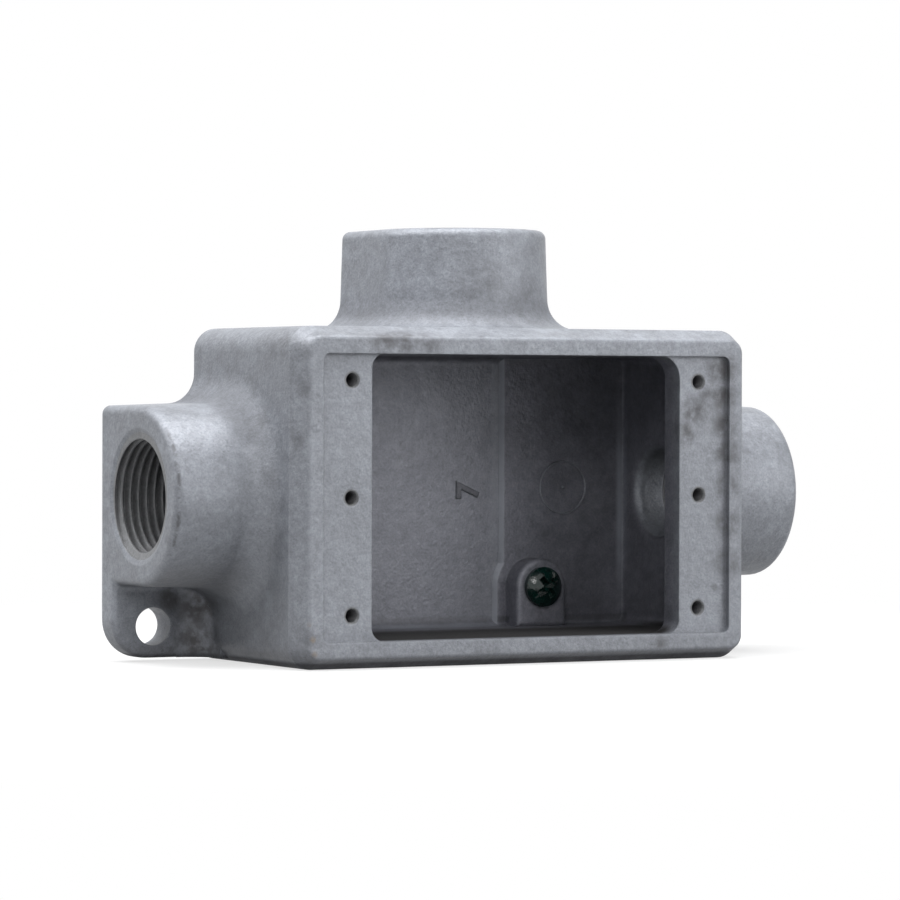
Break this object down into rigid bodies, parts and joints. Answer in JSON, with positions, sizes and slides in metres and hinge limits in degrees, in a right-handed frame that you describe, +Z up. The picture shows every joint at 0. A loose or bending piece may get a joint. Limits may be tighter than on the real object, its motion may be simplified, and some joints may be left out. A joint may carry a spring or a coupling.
{
  "type": "weatherproof device box",
  "caption": "Cast iron device box with threaded conduit hubs on both ends and one side, screw ledges, an inner grounding screw and diagonal mounting lugs.",
  "frame": {"origin": "on the face of the screw ledges, at the centre of the four cover screw holes, level with the end hubs' axis", "axes": "+X along the box to the right hub, +Y from the opening back to the mounting face, +Z up along the top hub"},
  "size_m": [0.1504, 0.0508, 0.0912],
  "materials": {
    "casting": "grey coated, matt and slightly pebbly",
    "ground_screw": "green, glossy"
  },
  "bodies": {
    "root": {"box_body": "casting", "ground_screw": "ground_screw"}
  },
  "joints": []
}
